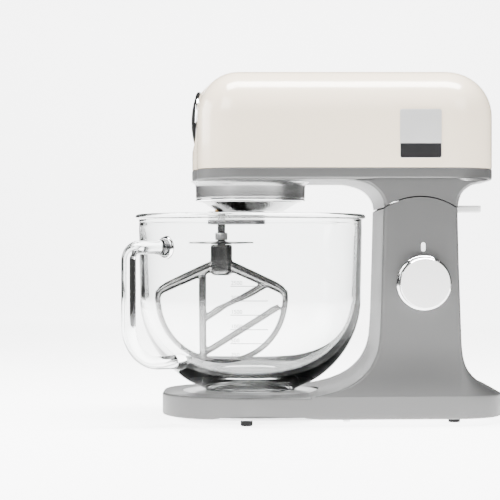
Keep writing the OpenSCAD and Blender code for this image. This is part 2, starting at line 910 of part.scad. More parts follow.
// Outside of the bowl down to its foot
function bowl_outside() = concat(
    arc(bend_c.x, bend_c.y, bend_r, bend_r, -70.5, -3.5, 16),
    [[rim_r - 4.4, rim_z - 5]]);

function bowl_inside() = concat(
    [[rim_r - 7.9, rim_z - 5]],
    arc(inner_c.x, inner_c.y, inner_r, inner_r, 0, -90, 16));

module glass_bowl() {
    foot_in = 36;
    color("lightcyan", 0.4) from_bowl() {
        rotate_extrude($fn = 96) {
            polygon(concat([[0, inside_low], [0, under_z], [foot_in, under_z],
                [foot_in, lug_z[0]], [foot_ring_r, lug_z[0]], [foot_ring_r, under_z]],
                bowl_outside(), [[rim_r - bead_r, rim_z - 1]], bowl_inside()));
            translate([rim_r - bead_r, rim_z - bead_r]) circle(r = bead_r, $fn = 24);
        }
        for (a = [0:120:240]) rotate(a)
            translate([foot_ring_r - 2, -lug_hw, lug_z[0]])
                cube([lug_r - foot_ring_r + 2, 2 * lug_hw, lug_z[1] - lug_z[0]]);
    }
}

// ---------- bowl handle ----------

module bowl_handle() {
    top_z = 176;
    low_z = 62;
    top_bend = 12;
    low_bend = 38;
    color("lightcyan", 0.4) from_bowl() difference() {
        rotate(180 + handle_turn) {
            along_x(108, handle_reach - top_bend, 0, top_z, rod_r);
            translate([handle_reach - top_bend, 0, top_z - top_bend]) rotate([90, 0, 0])
                rotate_extrude(angle = 90) translate([top_bend, 0]) circle(r = rod_r);
            along_z(handle_reach, 0, low_z + low_bend, top_z - top_bend, rod_r);
            translate([handle_reach - low_bend, 0, low_z + low_bend]) rotate([90, 0, 0])
                rotate([0, 0, -90]) rotate_extrude(angle = 90)
                    translate([low_bend, 0]) circle(r = rod_r);
            along_x(80, handle_reach - low_bend, 0, low_z, rod_r);
        }
        rotate_extrude($fn = 96) polygon(concat([[0, 20], [40, 20]], bowl_outside(),
            [[rim_r - 4.4, rim_z + 5], [0, rim_z + 5]]));
    }
}

base_housing();
base_plate();
rubber_feet();
base_screws();
bowl_seat();
seat_screws();
hinge_pin();
hinge_pin_plug();
control_board();
speed_control();
indicator_light();
cord_gland();
latch_catch();
interlock_switch();
head_cover();
head_chassis();
hinge_arm();
hinge_bushes();
arm_screws();
cover_screws();
badge_plate();
outlet_socket();
gearbox_housing();
gearbox_lid();
ring_gear();
gearbox_bearings();
motor_stator();
field_coils();
motor_bracket_lower();
motor_bracket_upper();
motor_bearings();
brush_holders();
drive_belt();
lever_pin();
lever_spring();
release_lever();
outlet_cap();
armature();
commutator();
motor_shaft();
cooling_fan();
motor_pulley();
layshaft();
large_pulley();
drive_pinion();
central_shaft();
main_gear();
planet_hub();
socket_block();
spindle_bush();
tool_spindle();
planet_pinion();
beater_shank();
beater_nut();
splash_disc();
beater_frame();
speed_knob();
glass_bowl();
bowl_handle();
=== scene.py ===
# %% [markdown]
# A tilt-head stand mixer: cream cover over a satin silver C-shaped body, a glass bowl, a flat beater.
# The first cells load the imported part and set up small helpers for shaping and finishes.

# %%
import json
import math
import bmesh
import bpy
from mathutils import Matrix, Vector


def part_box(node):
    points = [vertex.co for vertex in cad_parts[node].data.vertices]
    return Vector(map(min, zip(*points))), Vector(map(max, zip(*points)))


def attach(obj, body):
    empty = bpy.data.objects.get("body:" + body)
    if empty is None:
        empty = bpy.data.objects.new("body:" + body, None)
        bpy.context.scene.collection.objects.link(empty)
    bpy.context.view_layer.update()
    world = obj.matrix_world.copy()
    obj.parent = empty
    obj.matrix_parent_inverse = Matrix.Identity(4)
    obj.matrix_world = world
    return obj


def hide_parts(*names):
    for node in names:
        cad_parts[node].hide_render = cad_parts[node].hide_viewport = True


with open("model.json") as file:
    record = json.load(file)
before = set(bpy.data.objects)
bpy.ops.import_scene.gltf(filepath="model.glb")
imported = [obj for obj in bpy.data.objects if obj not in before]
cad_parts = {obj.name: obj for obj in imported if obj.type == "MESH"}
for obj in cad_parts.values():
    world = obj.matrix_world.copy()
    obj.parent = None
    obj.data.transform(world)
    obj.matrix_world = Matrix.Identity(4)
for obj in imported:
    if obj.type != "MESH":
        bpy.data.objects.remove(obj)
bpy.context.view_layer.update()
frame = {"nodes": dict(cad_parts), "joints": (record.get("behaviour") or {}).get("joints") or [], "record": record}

MM = 0.001
record = frame["record"]
hub_low, hub_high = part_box("planet_hub")
axis_x = (hub_low.x + hub_high.x) / 2
print("bowl axis at x =", round(axis_x, 5))

# %% [markdown]
# Helpers. Sizes are in millimetres and x is measured from the axis of the bowl, as on a workshop
# drawing; place() turns them into the mixer's own position. Each shape starts as an outline that is
# spun, extruded or bridged, because that is how the real parts are turned, cast and drawn.

# %%
def place(x, y, z):
    return Vector((axis_x + x * MM, y * MM, z * MM))


def local(node):
    """The two corners of a part's box in drawing millimetres."""
    low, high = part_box(node)
    shift = Vector((axis_x, 0, 0))
    return (low - shift) / MM, (high - shift) / MM


def piece(name, bm, material, sharp=32, merge=1e-6):
    """Closes up a shape, shades it and puts it in the scene."""
    bmesh.ops.remove_doubles(bm, verts=bm.verts, dist=merge)
    bmesh.ops.recalc_face_normals(bm, faces=bm.faces)
    mesh = bpy.data.meshes.new(name)
    bm.to_mesh(mesh)
    bm.free()
    obj = bpy.data.objects.new(name, mesh)
    bpy.context.scene.collection.objects.link(obj)
    shade(obj, sharp)
    if material:
        mesh.materials.append(material)
    return obj


def shade(obj, sharp=32):
    for face in obj.data.polygons:
        face.use_smooth = True
    obj.data.set_sharp_from_angle(angle=math.radians(sharp))


def apply_modifiers(obj):
    bpy.context.view_layer.update()
    graph = bpy.context.evaluated_depsgraph_get()
    mesh = bpy.data.meshes.new_from_object(obj.evaluated_get(graph))
    obj.modifiers.clear()
    obj.data = mesh


def cut(obj, tool, how="DIFFERENCE"):
    """Joins, cuts or crosses obj with a tool shape, then throws the tool away."""
    step = obj.modifiers.new("cut", "BOOLEAN")
    step.object = tool
    step.operation = how
    step.solver = "EXACT"
    apply_modifiers(obj)
    bpy.data.objects.remove(tool)


def even_shading(obj):
    step = obj.modifiers.new("even_shading", "WEIGHTED_NORMAL")
    step.keep_sharp = True
    apply_modifiers(obj)


def spun(points, centre, axis="Z", steps=96, closed=False):
    """Spins an outline of (radius, height) points round an axis."""
    bm = bmesh.new()
    verts = [bm.verts.new((r * MM, 0, h * MM)) for r, h in points]
    pairs = list(zip(verts, verts[1:])) + ([(verts[-1], verts[0])] if closed else [])
    edges = [bm.edges.new(p) for p in pairs]
    bmesh.ops.spin(bm, geom=verts + edges, cent=(0, 0, 0), axis=(0, 0, 1),
                   angle=2 * math.pi, steps=steps, use_merge=True)
    bmesh.ops.remove_doubles(bm, verts=bm.verts, dist=1e-6)
    turn = {"Z": Matrix.Identity(4), "-X": Matrix.Rotation(-math.pi / 2, 4, "Y"),
            "-Y": Matrix.Rotation(math.pi / 2, 4, "X"), "Y": Matrix.Rotation(-math.pi / 2, 4, "X"),
            "X": Matrix.Rotation(math.pi / 2, 4, "Y")}[axis]
    bm.transform(Matrix.Translation(place(*centre)) @ turn)
    bmesh.ops.recalc_face_normals(bm, faces=bm.faces)
    return bm


def arc(cx, cz, rx, rz, start, end, steps):
    turns = [math.radians(start + (end - start) * i / steps) for i in range(steps + 1)]
    return [(cx + rx * math.cos(t), cz + rz * math.sin(t)) for t in turns]


def level(bm, z, x0, x1, hw0, hw1, r0, r1, steps=10):
    """One level of a casting: four corners, each rounded. Returns its edge loop."""
    corners = [bm.verts.new(place(x, y, z)) for x, y in
               ((x0, -hw0), (x1, -hw1), (x1, hw1), (x0, hw0))]
    bm.faces.new(corners)
    bmesh.ops.bevel(bm, geom=[corners[0], corners[3]], offset=r0 * MM, segments=steps,
                    profile=0.5, affect="VERTICES", material=-1)
    back = [v for v in bm.verts if abs(v.co.z - z * MM) < 1e-7
            and abs(v.co.x - place(x1, 0, 0).x) < 1e-7]
    bmesh.ops.bevel(bm, geom=back, offset=r1 * MM, segments=steps,
                    profile=0.5, affect="VERTICES", material=-1)
    bm.faces.ensure_lookup_table()
    faces = [f for f in bm.faces if all(abs(v.co.z - z * MM) < 1e-7 for v in f.verts)]
    loop = list(dict.fromkeys(e for f in faces for e in f.edges))
    bmesh.ops.delete(bm, geom=faces, context="FACES_ONLY")
    return loop


def loft(levels, steps=10):
    """Bridges levels, lowest first, and closes both ends."""
    bm = bmesh.new()
    loops = [level(bm, *spec, steps=steps) for spec in levels]
    for low, high in zip(loops, loops[1:]):
        bmesh.ops.bridge_loops(bm, edges=low + high)
    bmesh.ops.edgeloop_fill(bm, edges=loops[0])
    bmesh.ops.edgeloop_fill(bm, edges=loops[-1])
    return bm


def box_shape(x0, x1, y0, y1, z0, z1):
    bm = bmesh.new()
    bmesh.ops.create_cube(bm, size=1)
    size = Vector((x1 - x0, y1 - y0, z1 - z0)) * MM
    middle = place((x0 + x1) / 2, (y0 + y1) / 2, (z0 + z1) / 2)
    bm.transform(Matrix.Translation(middle) @ Matrix.Diagonal((*size, 1)))
    return bm


def bevel_where(bm, test, width, steps):
    edges = [e for e in bm.edges if test((e.verts[0].co + e.verts[1].co) / 2,
                                         e.verts[1].co - e.verts[0].co)]
    bmesh.ops.bevel(bm, geom=edges, offset=width * MM, segments=steps, profile=0.5,
                    affect="EDGES", material=-1)


def swept(path, radii, steps=20, bm=None, flat=(0, 1, 0)):
    """A bar along a path. radii gives the half sizes along flat and across it at each point."""
    bm = bm or bmesh.new()
    loops = []
    for i, point in enumerate(path):
        ahead = (path[min(i + 1, len(path) - 1)] - path[max(i - 1, 0)]).normalized()
        side = Vector(flat).cross(ahead).normalized()
        up = ahead.cross(side).normalized()
        a, b = radii[i] if isinstance(radii, list) else radii
        frame_m = Matrix((side, up, ahead)).transposed().to_4x4()
        turn = Matrix.Translation(point) @ frame_m @ Matrix.Diagonal((b * MM, a * MM, 1, 1))
        ring = bmesh.ops.create_circle(bm, segments=steps, radius=1, matrix=turn)["verts"]
        loops.append(list(dict.fromkeys(e for v in ring for e in v.link_edges)))
    for low, high in zip(loops, loops[1:]):
        bmesh.ops.bridge_loops(bm, edges=low + high)
    bmesh.ops.edgeloop_fill(bm, edges=loops[0])
    bmesh.ops.edgeloop_fill(bm, edges=loops[-1])
    return bm


def bow_front(bm, front, rise=6.2, flat=33.0, corner=50.0):
    """Bows the flat front of a long rounded shape: full at the middle, easing into the corners."""
    edge_x = place(front, 0, 0).x
    rungs = [e for e in bm.edges if abs(e.verts[0].co.y - e.verts[1].co.y) > 0.02
             and max(v.co.x for v in e.verts) < edge_x + corner * MM]
    bmesh.ops.subdivide_edges(bm, edges=rungs, cuts=15, use_grid_fill=True)
    for v in bm.verts:
        inward = 1 - (v.co.x - edge_x) / (corner * MM)
        if inward > 0:
            v.co.x += rise * MM * min(1, abs(v.co.y) / (flat * MM)) ** 2 * min(1, inward)


# %% [markdown]
# Finishes. Every one is made from noise in object coordinates: a slight change of colour, of gloss
# and of height, as paint, cast metal, moulded plastic and glass all have when seen close to.

# %%
def finish(name, color, rough, metal=0.0, grain=900, tone=0.05, height=0.02, gloss_coat=0.0,
           glass=0.0, stretch=(1, 1, 1), ior=1.5, rough_spread=0.06,
           glow=0.0):
    mat = bpy.data.materials.new(name)
    mat.use_nodes = True
    nodes, links = mat.node_tree.nodes, mat.node_tree.links
    shader = nodes["Principled BSDF"]
    coords = nodes.new("ShaderNodeTexCoord")
    scale = nodes.new("ShaderNodeMapping")
    scale.inputs["Scale"].default_value = stretch
    noise = nodes.new("ShaderNodeTexNoise")
    noise.inputs["Scale"].default_value = grain
    noise.inputs["Detail"].default_value = 4
    links.new(coords.outputs["Object"], scale.inputs["Vector"])
    links.new(scale.outputs["Vector"], noise.inputs["Vector"])
    ramp = nodes.new("ShaderNodeValToRGB")
    dark = [c * (1 - tone) for c in color]
    light = [min(1, c * (1 + tone)) for c in color]
    ramp.color_ramp.elements[0].position = 0.3
    ramp.color_ramp.elements[1].position = 0.7
    ramp.color_ramp.elements[0].color = (*dark, 1)
    ramp.color_ramp.elements[1].color = (*light, 1)
    links.new(noise.outputs["Fac"], ramp.inputs["Fac"])
    links.new(ramp.outputs["Color"], shader.inputs["Base Color"])
    spread = nodes.new("ShaderNodeMapRange")
    spread.inputs["To Min"].default_value = max(0, rough - rough_spread)
    spread.inputs["To Max"].default_value = rough + rough_spread
    links.new(noise.outputs["Fac"], spread.inputs["Value"])
    links.new(spread.outputs["Result"], shader.inputs["Roughness"])
    if height:
        bump = nodes.new("ShaderNodeBump")
        bump.inputs["Strength"].default_value = height
        bump.inputs["Distance"].default_value = 0.0004
        links.new(noise.outputs["Fac"], bump.inputs["Height"])
        links.new(bump.outputs["Normal"], shader.inputs["Normal"])
    shader.inputs["Metallic"].default_value = metal
    shader.inputs["IOR"].default_value = ior
    shader.inputs["Coat Weight"].default_value = gloss_coat
    shader.inputs["Coat Roughness"].default_value = 0.04
    shader.inputs["Transmission Weight"].default_value = glass
    shader.inputs["Emission Color"].default_value = (*color, 1)
    shader.inputs["Emission Strength"].default_value = glow
    return mat


slot_finish = {
    "silver_paint": finish("silver_paint", (0.125, 0.125, 0.124), 0.5, 0.8, 2600, 0.05, 0.05),
    "cream_gloss": finish("cream_gloss", (0.86, 0.735, 0.575), 0.22, 0, 500, 0.008, 0.0, 0.6),
    "zinc_plate": finish("zinc_plate", (0.55, 0.55, 0.56), 0.35, 1, 160, 0.12, 0.04),
    "black_rubber": finish("black_rubber", (0.012, 0.012, 0.012), 0.8, 0, 1400, 0.2, 0.2,
                           ior=1.2),
    "steel_screws": finish("steel_screws", (0.6, 0.6, 0.6), 0.3, 1, 700, 0.08, 0.05),
    "seat_satin": finish("seat_satin", (0.3, 0.3, 0.298), 0.36, 0.85, 1500, 0.04, 0.04),
    "ground_steel": finish("ground_steel", (0.66, 0.66, 0.66), 0.18, 1, 900, 0.05, 0.03,
                           stretch=(1, 1, 12)),
    "bronze": finish("bronze", (0.58, 0.38, 0.17), 0.45, 1, 2200, 0.15, 0.15),
    "copper": finish("copper", (0.70, 0.30, 0.14), 0.3, 1, 260, 0.1, 0.3, stretch=(1, 1, 16)),
    "board_green": finish("board_green", (0.03, 0.17, 0.07), 0.35, 0, 300, 0.25, 0.05),
    "dark_plastic": finish("dark_plastic", (0.04, 0.04, 0.042), 0.5, 0, 1800, 0.15, 0.12),
    "light_lens": finish("light_lens", (0.95, 0.95, 0.95), 0.25, 0, 700, 0.01, 0.0,
                         glow=0.6),
    "badge_blank": finish("badge_blank", (0.56, 0.56, 0.555), 0.34, 0.3, 2600, 0.03, 0.03,
                          stretch=(0.05, 1, 1)),
    "gear_case": finish("gear_case", (0.46, 0.47, 0.48), 0.55, 0.9, 1100, 0.12, 0.3),
    "gear_nylon": finish("gear_nylon", (0.78, 0.69, 0.42), 0.45, 0, 600, 0.04, 0.05),
    "lamination": finish("lamination", (0.3, 0.31, 0.33), 0.5, 0.9, 120, 0.3, 0.4,
                         stretch=(1, 1, 30)),
    "lever_metal": finish("lever_metal", (0.84, 0.84, 0.83), 0.4, 0.2, 1800, 0.04, 0.04),
    "cap_chrome": finish("cap_chrome", (0.82, 0.82, 0.82), 0.06, 1, 300, 0.02, 0.0,
                         rough_spread=0.02),
    "hub_metal": finish("hub_metal", (0.3, 0.3, 0.3), 0.16, 1, 900, 0.05, 0.02),
    "collar_metal": finish("collar_metal", (0.3, 0.3, 0.298), 0.26, 0.85, 2000, 0.04, 0.03),
    "tool_steel": finish("tool_steel", (0.17, 0.169, 0.167), 0.16, 1, 420, 0.1, 0.12),
    "knob_satin": finish("knob_satin", (0.88, 0.87, 0.86), 0.3, 0.25, 1200, 0.02, 0.02),
    "bowl_glass": finish("bowl_glass", (0.985, 0.995, 0.992), 0.0, 0, 60, 0.004, 0.0,
                         glass=1.0, ior=1.47, rough_spread=0.004),
}
print_ink = finish("scale_print", (0.08, 0.082, 0.082), 0.5, 0, 900, 0.05, 0.0)
# Near-black finish for the faces inside the joint bore: painted shade, standing in for the shadow deep in the gap
# between neck and column.
joint_painted_shade = finish("joint_painted_shade", (0.02, 0.02, 0.02), 0.8, 0, 900, 0.2, 0.1)
black_print = finish("black_print", (0.012, 0.012, 0.013), 0.3, 0, 900, 0.1, 0.0)

for row in record["subparts"]:
    node = frame["nodes"][row["node"]]
    node.data.materials.clear()
    node.data.materials.append(slot_finish[row["material_slot"]])
    shade(node, 30)
print("carried over with finishes:", len(record["subparts"]), "CAD nodes")


def install(obj, body, slot, *nodes):
    """The piece rides on its body and takes the place of the CAD nodes it stands for."""
    if nodes:
        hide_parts(*nodes)
    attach(obj, body)
    print(obj.name, len(obj.data.polygons), "faces on", body)


# %% [markdown]
# Cream cover: a hollow die casting, a long box with big soft corners and a 3 mm wall, open below. It
# could be a squeezed sphere or a drawn spline surface; a box with its upright corners and then its top
# edges rounded gives the same flats and soft shoulders, with exact tangents. The front is bowed a
# little. Inside go four screw posts and the boss round the cap's bored well.

# %%
low, high = local("head_cover")
wall = 3
plan_round = 50
top_round = 46


def cover_form(inset, floor):
    bm = box_shape(low.x + inset, high.x - inset, low.y + inset, high.y - inset, floor, high.z - inset)
    bevel_where(bm, lambda m, d: abs(d.z) > 1e-4, plan_round - inset, 16)
    top = (high.z - inset) * MM
    bevel_where(bm, lambda m, d: m.z > top - 1e-5, top_round - inset, 14)
    return bm


def join_inside(obj, bm):
    """Adds a post or boss to the cover, ending it in the middle of the cover's wall."""
    extra = piece("extra", bm, None)
    limit = cover_form(wall / 2, low.z)
    bow_front(limit, low.x + wall / 2)
    cut(extra, piece("limit", limit, None), "INTERSECT")
    cut(obj, extra, "UNION")


bm = cover_form(0, low.z)
floor_z = low.z * MM
bevel_where(bm, lambda m, d: m.z < floor_z + 1e-5 and abs(d.z) < 1e-6, 0.9, 2)
bow_front(bm, low.x)
cover = piece("head_cover_shell", bm, slot_finish["cream_gloss"], 40)
bm = cover_form(wall, low.z - 5)
bow_front(bm, low.x + wall)
cut(cover, piece("hollow", bm, None))
post_spots = ((-30, 55), (-30, -55), (214, 52), (214, -52))
for x, y in post_spots:
    join_inside(cover, spun([(2.2, low.z), (5, low.z), (5, high.z), (0, high.z), (0, low.z + 16),
                             (2.2, low.z + 16)], (x, y, 0), steps=32, closed=True))
cap_low, cap_high = local("outlet_cap")
cap_z = (cap_low.z + cap_high.z) / 2
cap_r = (cap_high.z - cap_low.z) / 2 + 0.8
join_inside(cover, spun([(0, 0), (34.5, 0), (34.5, 15), (0, 15)], (low.x + 22, 0, cap_z), "-X"))
well = piece("well", spun([(0, -30), (cap_r + 0.9, -30), (cap_r + 0.9, 40), (0, 40)],
                          (cap_low.x + 12, 0, cap_z), "-X"), None)
cut(cover, well)
shade(cover, 40)
even_shading(cover)
install(cover, "head", "cream_gloss", "head_cover")

# %% [markdown]
# Outlet cap: a domed chromed disc with a rolled edge, spun from its section.

# %%
dome = [(0, 0), (cap_r, 0), (cap_r, 2.6), (cap_r - 0.7, 3.4)]
dome += [(math.sin(math.radians(a)) * 88, 9.5 - 88 * (1 - math.cos(math.radians(a))))
         for a in (20, 18, 16, 14, 12, 10, 8, 6, 4, 2)] + [(0, 9.5)]
cap = piece("outlet_cap_dome", spun(dome, (cap_low.x + 9.5, 0, cap_z), "-X", 128),
            slot_finish["cap_chrome"], 40)
install(cap, "cap", "cap_chrome", "outlet_cap")

# %% [markdown]
# Head frame: the silver band under the cover, the drive collar and the neck. The neck is one flat
# sided casting whose front and back sweep into the band, so it is bridged through levels taken down
# its curve, and the round joint above the column is bored out of it. The band is hollowed to a tray.

# %%
low, high = local("head_chassis")
cover_low = local("head_cover")[0].z
hinge = next(j for j in frame["joints"] if j["name"] == "head_tilt")
pivot = ((hinge["pos_m"][0] - axis_x) / MM, hinge["pos_m"][2] / MM)
column_low, column_high = local("base_housing")
dome_r = column_high.z - pivot[1]
neck_hw = 82.3
band_z = 243.4
joint_gap = 1.2
neck = [(206, 132.4, 205.4, neck_hw, neck_hw, 4, 4), (217.6, 132.4, 205.6, neck_hw, neck_hw, 4, 4),
        (223.3, 131.3, 206.8, neck_hw, neck_hw, 4, 4), (228.5, 128.7, 208.6, neck_hw, neck_hw, 4, 4),
        (232.0, 126.0, 211.2, 82.4, 82.4, 4, 4), (235.2, 122.6, 215.0, 82.5, 82.5, 4, 5),
        (237.9, 118.4, 219.6, 82.5, 82.5, 5, 6), (240.2, 112.5, 226.5, 82.6, 82.6, 8, 10),
        (242.0, 104.0, 233.5, 82.6, 82.6, 16, 20), (243.0, 95.0, 238.5, 82.6, 82.6, 28, 34),
        (244.6, 88.0, 242.0, 82.6, 82.6, 40, 44)]
chassis = piece("head_frame_casting", loft(neck, 8), slot_finish["silver_paint"])
bm = loft([(band_z, low.x + 3, high.x - 3, high.y - 3, high.y - 3, 47, 47),
           (band_z + 0.5, low.x + 1.4, high.x - 1.4, high.y - 1.4, high.y - 1.4, 48.6, 48.6),
           (band_z + 1.6, low.x + 0.4, high.x - 0.4, high.y - 0.4, high.y - 0.4, 49.6, 49.6),
           (band_z + 3.0, low.x, high.x, high.y, high.y, 50, 50),
           (cover_low - 0.9, low.x, high.x, high.y, high.y, 50, 50),
           (cover_low - 0.2, low.x + 0.7, high.x - 0.7, high.y - 0.7, high.y - 0.7, 49.3, 49.3)],
          16)
bow_front(bm, low.x)
cut(chassis, piece("band", bm, None), "UNION")
inner = (low.x + wall, high.x - wall, high.y - wall, high.y - wall, 50 - wall, 50 - wall)
bm = loft([(band_z + wall, *inner), (cover_low + 5, *inner)], 16)
bow_front(bm, low.x + wall)
cut(chassis, piece("tray", bm, None))
cut(chassis, piece("neck_well", box_shape(137, 202, -73, 73, 231, 250), None))
cut(chassis, piece("shaft_hole", spun([(0, 236), (16.1, 236), (16.1, 250), (0, 250)], (0, 0, 0)), None))
for x, y in post_spots:
    post = spun([(2.1, band_z + 1), (6.5, band_z + 1), (6.5, cover_low - 0.2), (2.1, cover_low - 0.2)],
                (x, y, 0), steps=32, closed=True)
    cut(chassis, piece("post", post, None), "UNION")
bore_r = dome_r + joint_gap
joint_bore = piece("bore", spun([(0, -100), (bore_r, -100), (bore_r, 100), (0, 100)],
                                (pivot[0], 0, pivot[1]), "Y", 160), None)
cut(chassis, joint_bore)
lever_low, lever_high = local("release_lever")
cut(chassis, piece("slot", box_shape(lever_low.x - 2, 218, -12.6, 12.6, 200, 235), None))
cut(chassis, piece("slot", box_shape(pivot[0] - 9.6, pivot[0] + 9.6, -9.6, 9.6, 200, 232), None))
shade(chassis, 28)
even_shading(chassis)
# The bore faces round the joint take the near-black finish: painted shade for the deep gap above the column.
chassis.data.materials.append(joint_painted_shade)
for face in chassis.data.polygons:
    reach = math.hypot(face.center.x - place(pivot[0], 0, 0).x, face.center.z - pivot[1] * MM) / MM
    if abs(reach - bore_r) < 0.3:
        face.material_index = 1
install(chassis, "head", "silver_paint", "head_chassis")

collar_points = [(30, 240), (52.6, 240), (52.6, 226.4), (53.6, 225.6), (55.4, 225.6), (56.2, 226.6),
                 (56.4, 228), (56.6, 238), (57.4, 241), (60, 243), (62, 244.2), (30, 244.2)]
collar = piece("drive_collar", spun(collar_points, (0, 0, 0), closed=True),
               slot_finish["collar_metal"], 40)
install(collar, "head", "silver_paint")
lip = [(52.9, 223.4), (54.8, 223.1), (56.1, 223.5), (56.7, 224.4), (56.5, 225.5), (55.6, 226),
       (52.9, 226)]
rim = piece("collar_rim", spun(lip, (0, 0, 0), closed=True), slot_finish["cap_chrome"], 50)
install(rim, "head", "cap_chrome")

# %% [markdown]
# Base and column: one casting again. The base is a rounded plate outline with soft edges; the
# column is bridged through levels down its curve, trimmed to the round top of the tilting joint
# and united with the base. Then the seat's recess, the hollow underside and the arm's slot are cut.

# %%
low, high = column_low, column_high
deck = local("bowl_seat")[1].z - 0.6
front_hw = high.y


def shrunk(z, by):
    return (z, low.x + by, high.x - by, front_hw - by, 87 - by, 87 - by, 50 - by)


base = piece("base_and_column", loft([shrunk(low.z, 1.6), shrunk(low.z + 0.5, 0.6),
                                      shrunk(low.z + 1.7, 0), shrunk(deck - 2.2, 0),
                                      shrunk(deck - 1.2, 0.3), shrunk(deck - 0.45, 1.0),
                                      shrunk(deck - 0.1, 2.0), shrunk(deck, 3.4)], 16),
             slot_finish["silver_paint"])
column = [(low.z + 5, 58, 253.95, 99.0, 87.04, 3, 50), (deck - 0.2, 58, 253.9, 99.0, 87.04, 3, 50),
          (deck + 0.5, 62, 253.0, 98.7, 87.0, 3, 49), (30.6, 68, 251.0, 98.2, 86.9, 3, 47),
          (32.6, 77.0, 247.5, 97.4, 86.7, 3.5, 43), (35.6, 87.0, 241.0, 96.4, 86.5, 4, 36),
          (39.5, 96.5, 233.0, 95.0, 86.2, 4, 27), (44.0, 104.4, 226.0, 93.4, 85.9, 4, 19),
          (48.4, 109.8, 220.8, 91.8, 85.5, 4, 13), (53.0, 114.4, 216.8, 90.2, 85.1, 4, 9),
          (57.3, 117.9, 214.0, 88.9, 84.8, 4, 6.5), (63.0, 121.2, 211.8, 87.4, 84.4, 4, 5),
          (68.2, 123.6, 210.5, 86.3, 84.1, 4, 4), (74.0, 125.6, 209.7, 85.3, 83.8, 4, 4),
          (82.0, 127.2, 209.1, 84.4, 83.5, 4, 4), (96.0, 128.3, 208.6, 83.6, 83.1, 4, 4),
          (111.0, 129.0, 208.1, 83.1, 82.9, 4, 4), (160.0, 130.4, 206.4, 82.6, 82.6, 4, 4),
          (226.5, 132.0, 204.8, 82.3, 82.3, 4, 4)]
tower = piece("tower", loft(column, 8), None)
step = 48
trim = bmesh.new()
shape = [place(pivot[0] + dome_r * math.cos(math.pi * i / step), -120,
               pivot[1] + dome_r * math.sin(math.pi * i / step)) for i in range(step + 1)]
shape = [place(300, -120, pivot[1]), *shape, place(20, -120, pivot[1]), place(20, -120, -20),
         place(300, -120, -20)]
face = trim.faces.new([trim.verts.new(p) for p in shape])
pushed = bmesh.ops.extrude_face_region(trim, geom=[face])
moved = [v for v in pushed["geom"] if isinstance(v, bmesh.types.BMVert)]
bmesh.ops.translate(trim, verts=moved, vec=(0, 0.24, 0))
cut(tower, piece("trim", trim, None), "INTERSECT")
cut(base, tower, "UNION")
seat_low, seat_high = local("bowl_seat")
seat_r = (seat_high.y - seat_low.y) / 2
recess = spun([(0, 19.5), (seat_r + 0.15, 19.5), (seat_r + 0.15, deck - 0.5), (seat_r + 0.9, deck + 0.4),
               (seat_r + 0.9, 40), (0, 40)], (0, 0, 0))
cut(base, piece("recess", recess, None))
pocket = piece("pocket", loft([shrunk(low.z - 1, 3.2), shrunk(deck - wall, 3.2)], 16), None)
island = spun([(0, -5), (seat_r + 4, -5), (seat_r + 4, 60), (0, 60)], (0, 0, 0))
cut(pocket, piece("island", island, None))
cut(base, pocket)
cut(base, piece("slot", box_shape(pivot[0] - 11, pivot[0] + 60, -10, 10, pivot[1] + 17, 300), None))
cut(base, piece("slot", box_shape(pivot[0] - 32, pivot[0] + 33, -74, 74, deck - 8, pivot[1] + 44), None))
gland_low, gland_high = local("cord_gland")
gland_y, gland_z = (gland_low.y + gland_high.y) / 2, (gland_low.z + gland_high.z) / 2
cut(base, piece("hole", spun([(0, -20), (6.1, -20), (6.1, 20), (0, 20)],
                             (high.x, gland_y, gland_z), "X", 40), None))
shade(base, 28)
even_shading(base)
install(base, "base", "silver_paint", "base_housing")

# %% [markdown]
# Bowl seat: a turned satin plate let into the base, with a fine raised lip round the bowl's foot.

# %%
seat_top = seat_high.z
foot_gap = 45.3
seat_section = [(0, 22), (foot_gap + 3.6, 22), (foot_gap + 3.6, 26.4), (foot_gap, 26.6),
                (foot_gap, seat_top - 0.3), (foot_gap + 0.4, seat_top), (foot_gap + 2.4, seat_top),
                (foot_gap + 3.0, seat_top - 0.35), (seat_r - 1.2, seat_top - 0.4),
                (seat_r - 0.3, seat_top - 0.7), (seat_r, seat_top - 1.4), (seat_r, 19.8), (0, 19.8)]
seat = piece("bowl_seat_plate", spun(seat_section, (0, 0, 0), steps=128),
             slot_finish["seat_satin"], 35)
install(seat, "base", "seat_satin", "bowl_seat")

# %% [markdown]
# Feet: four moulded rubber discs, softly rounded at the worktop, each where its plain foot stands.

# %%
low, high = local("rubber_feet")
bm = bmesh.new()
middle_x = (low.x + high.x) / 2
points = [((v.co.x - axis_x) / MM, v.co.y / MM) for v in frame["nodes"]["rubber_feet"].data.vertices]
spots = []
for near_end in (True, False):
    for side in (1, -1):
        own = [p for p in points if (p[0] < middle_x) == near_end and p[1] * side > 0]
        spots.append([(min(c) + max(c)) / 2 for c in zip(*own)])
print("feet at", [[round(c, 1) for c in spot] for spot in spots])
for x, y in spots:
    foot = spun([(0, 0), (4.6, 0), (5.4, 0.25), (5.9, 0.9), (6, 1.8), (6, 6.6), (2.4, 6.6), (2.4, 10),
                 (0, 10)], (x, y, 0), steps=40)
    mesh = bpy.data.meshes.new("foot")
    foot.to_mesh(mesh)
    foot.free()
    bm.from_mesh(mesh)
feet = piece("feet_moulded", bm, slot_finish["black_rubber"], 40)
install(feet, "base", "black_rubber", "rubber_feet")
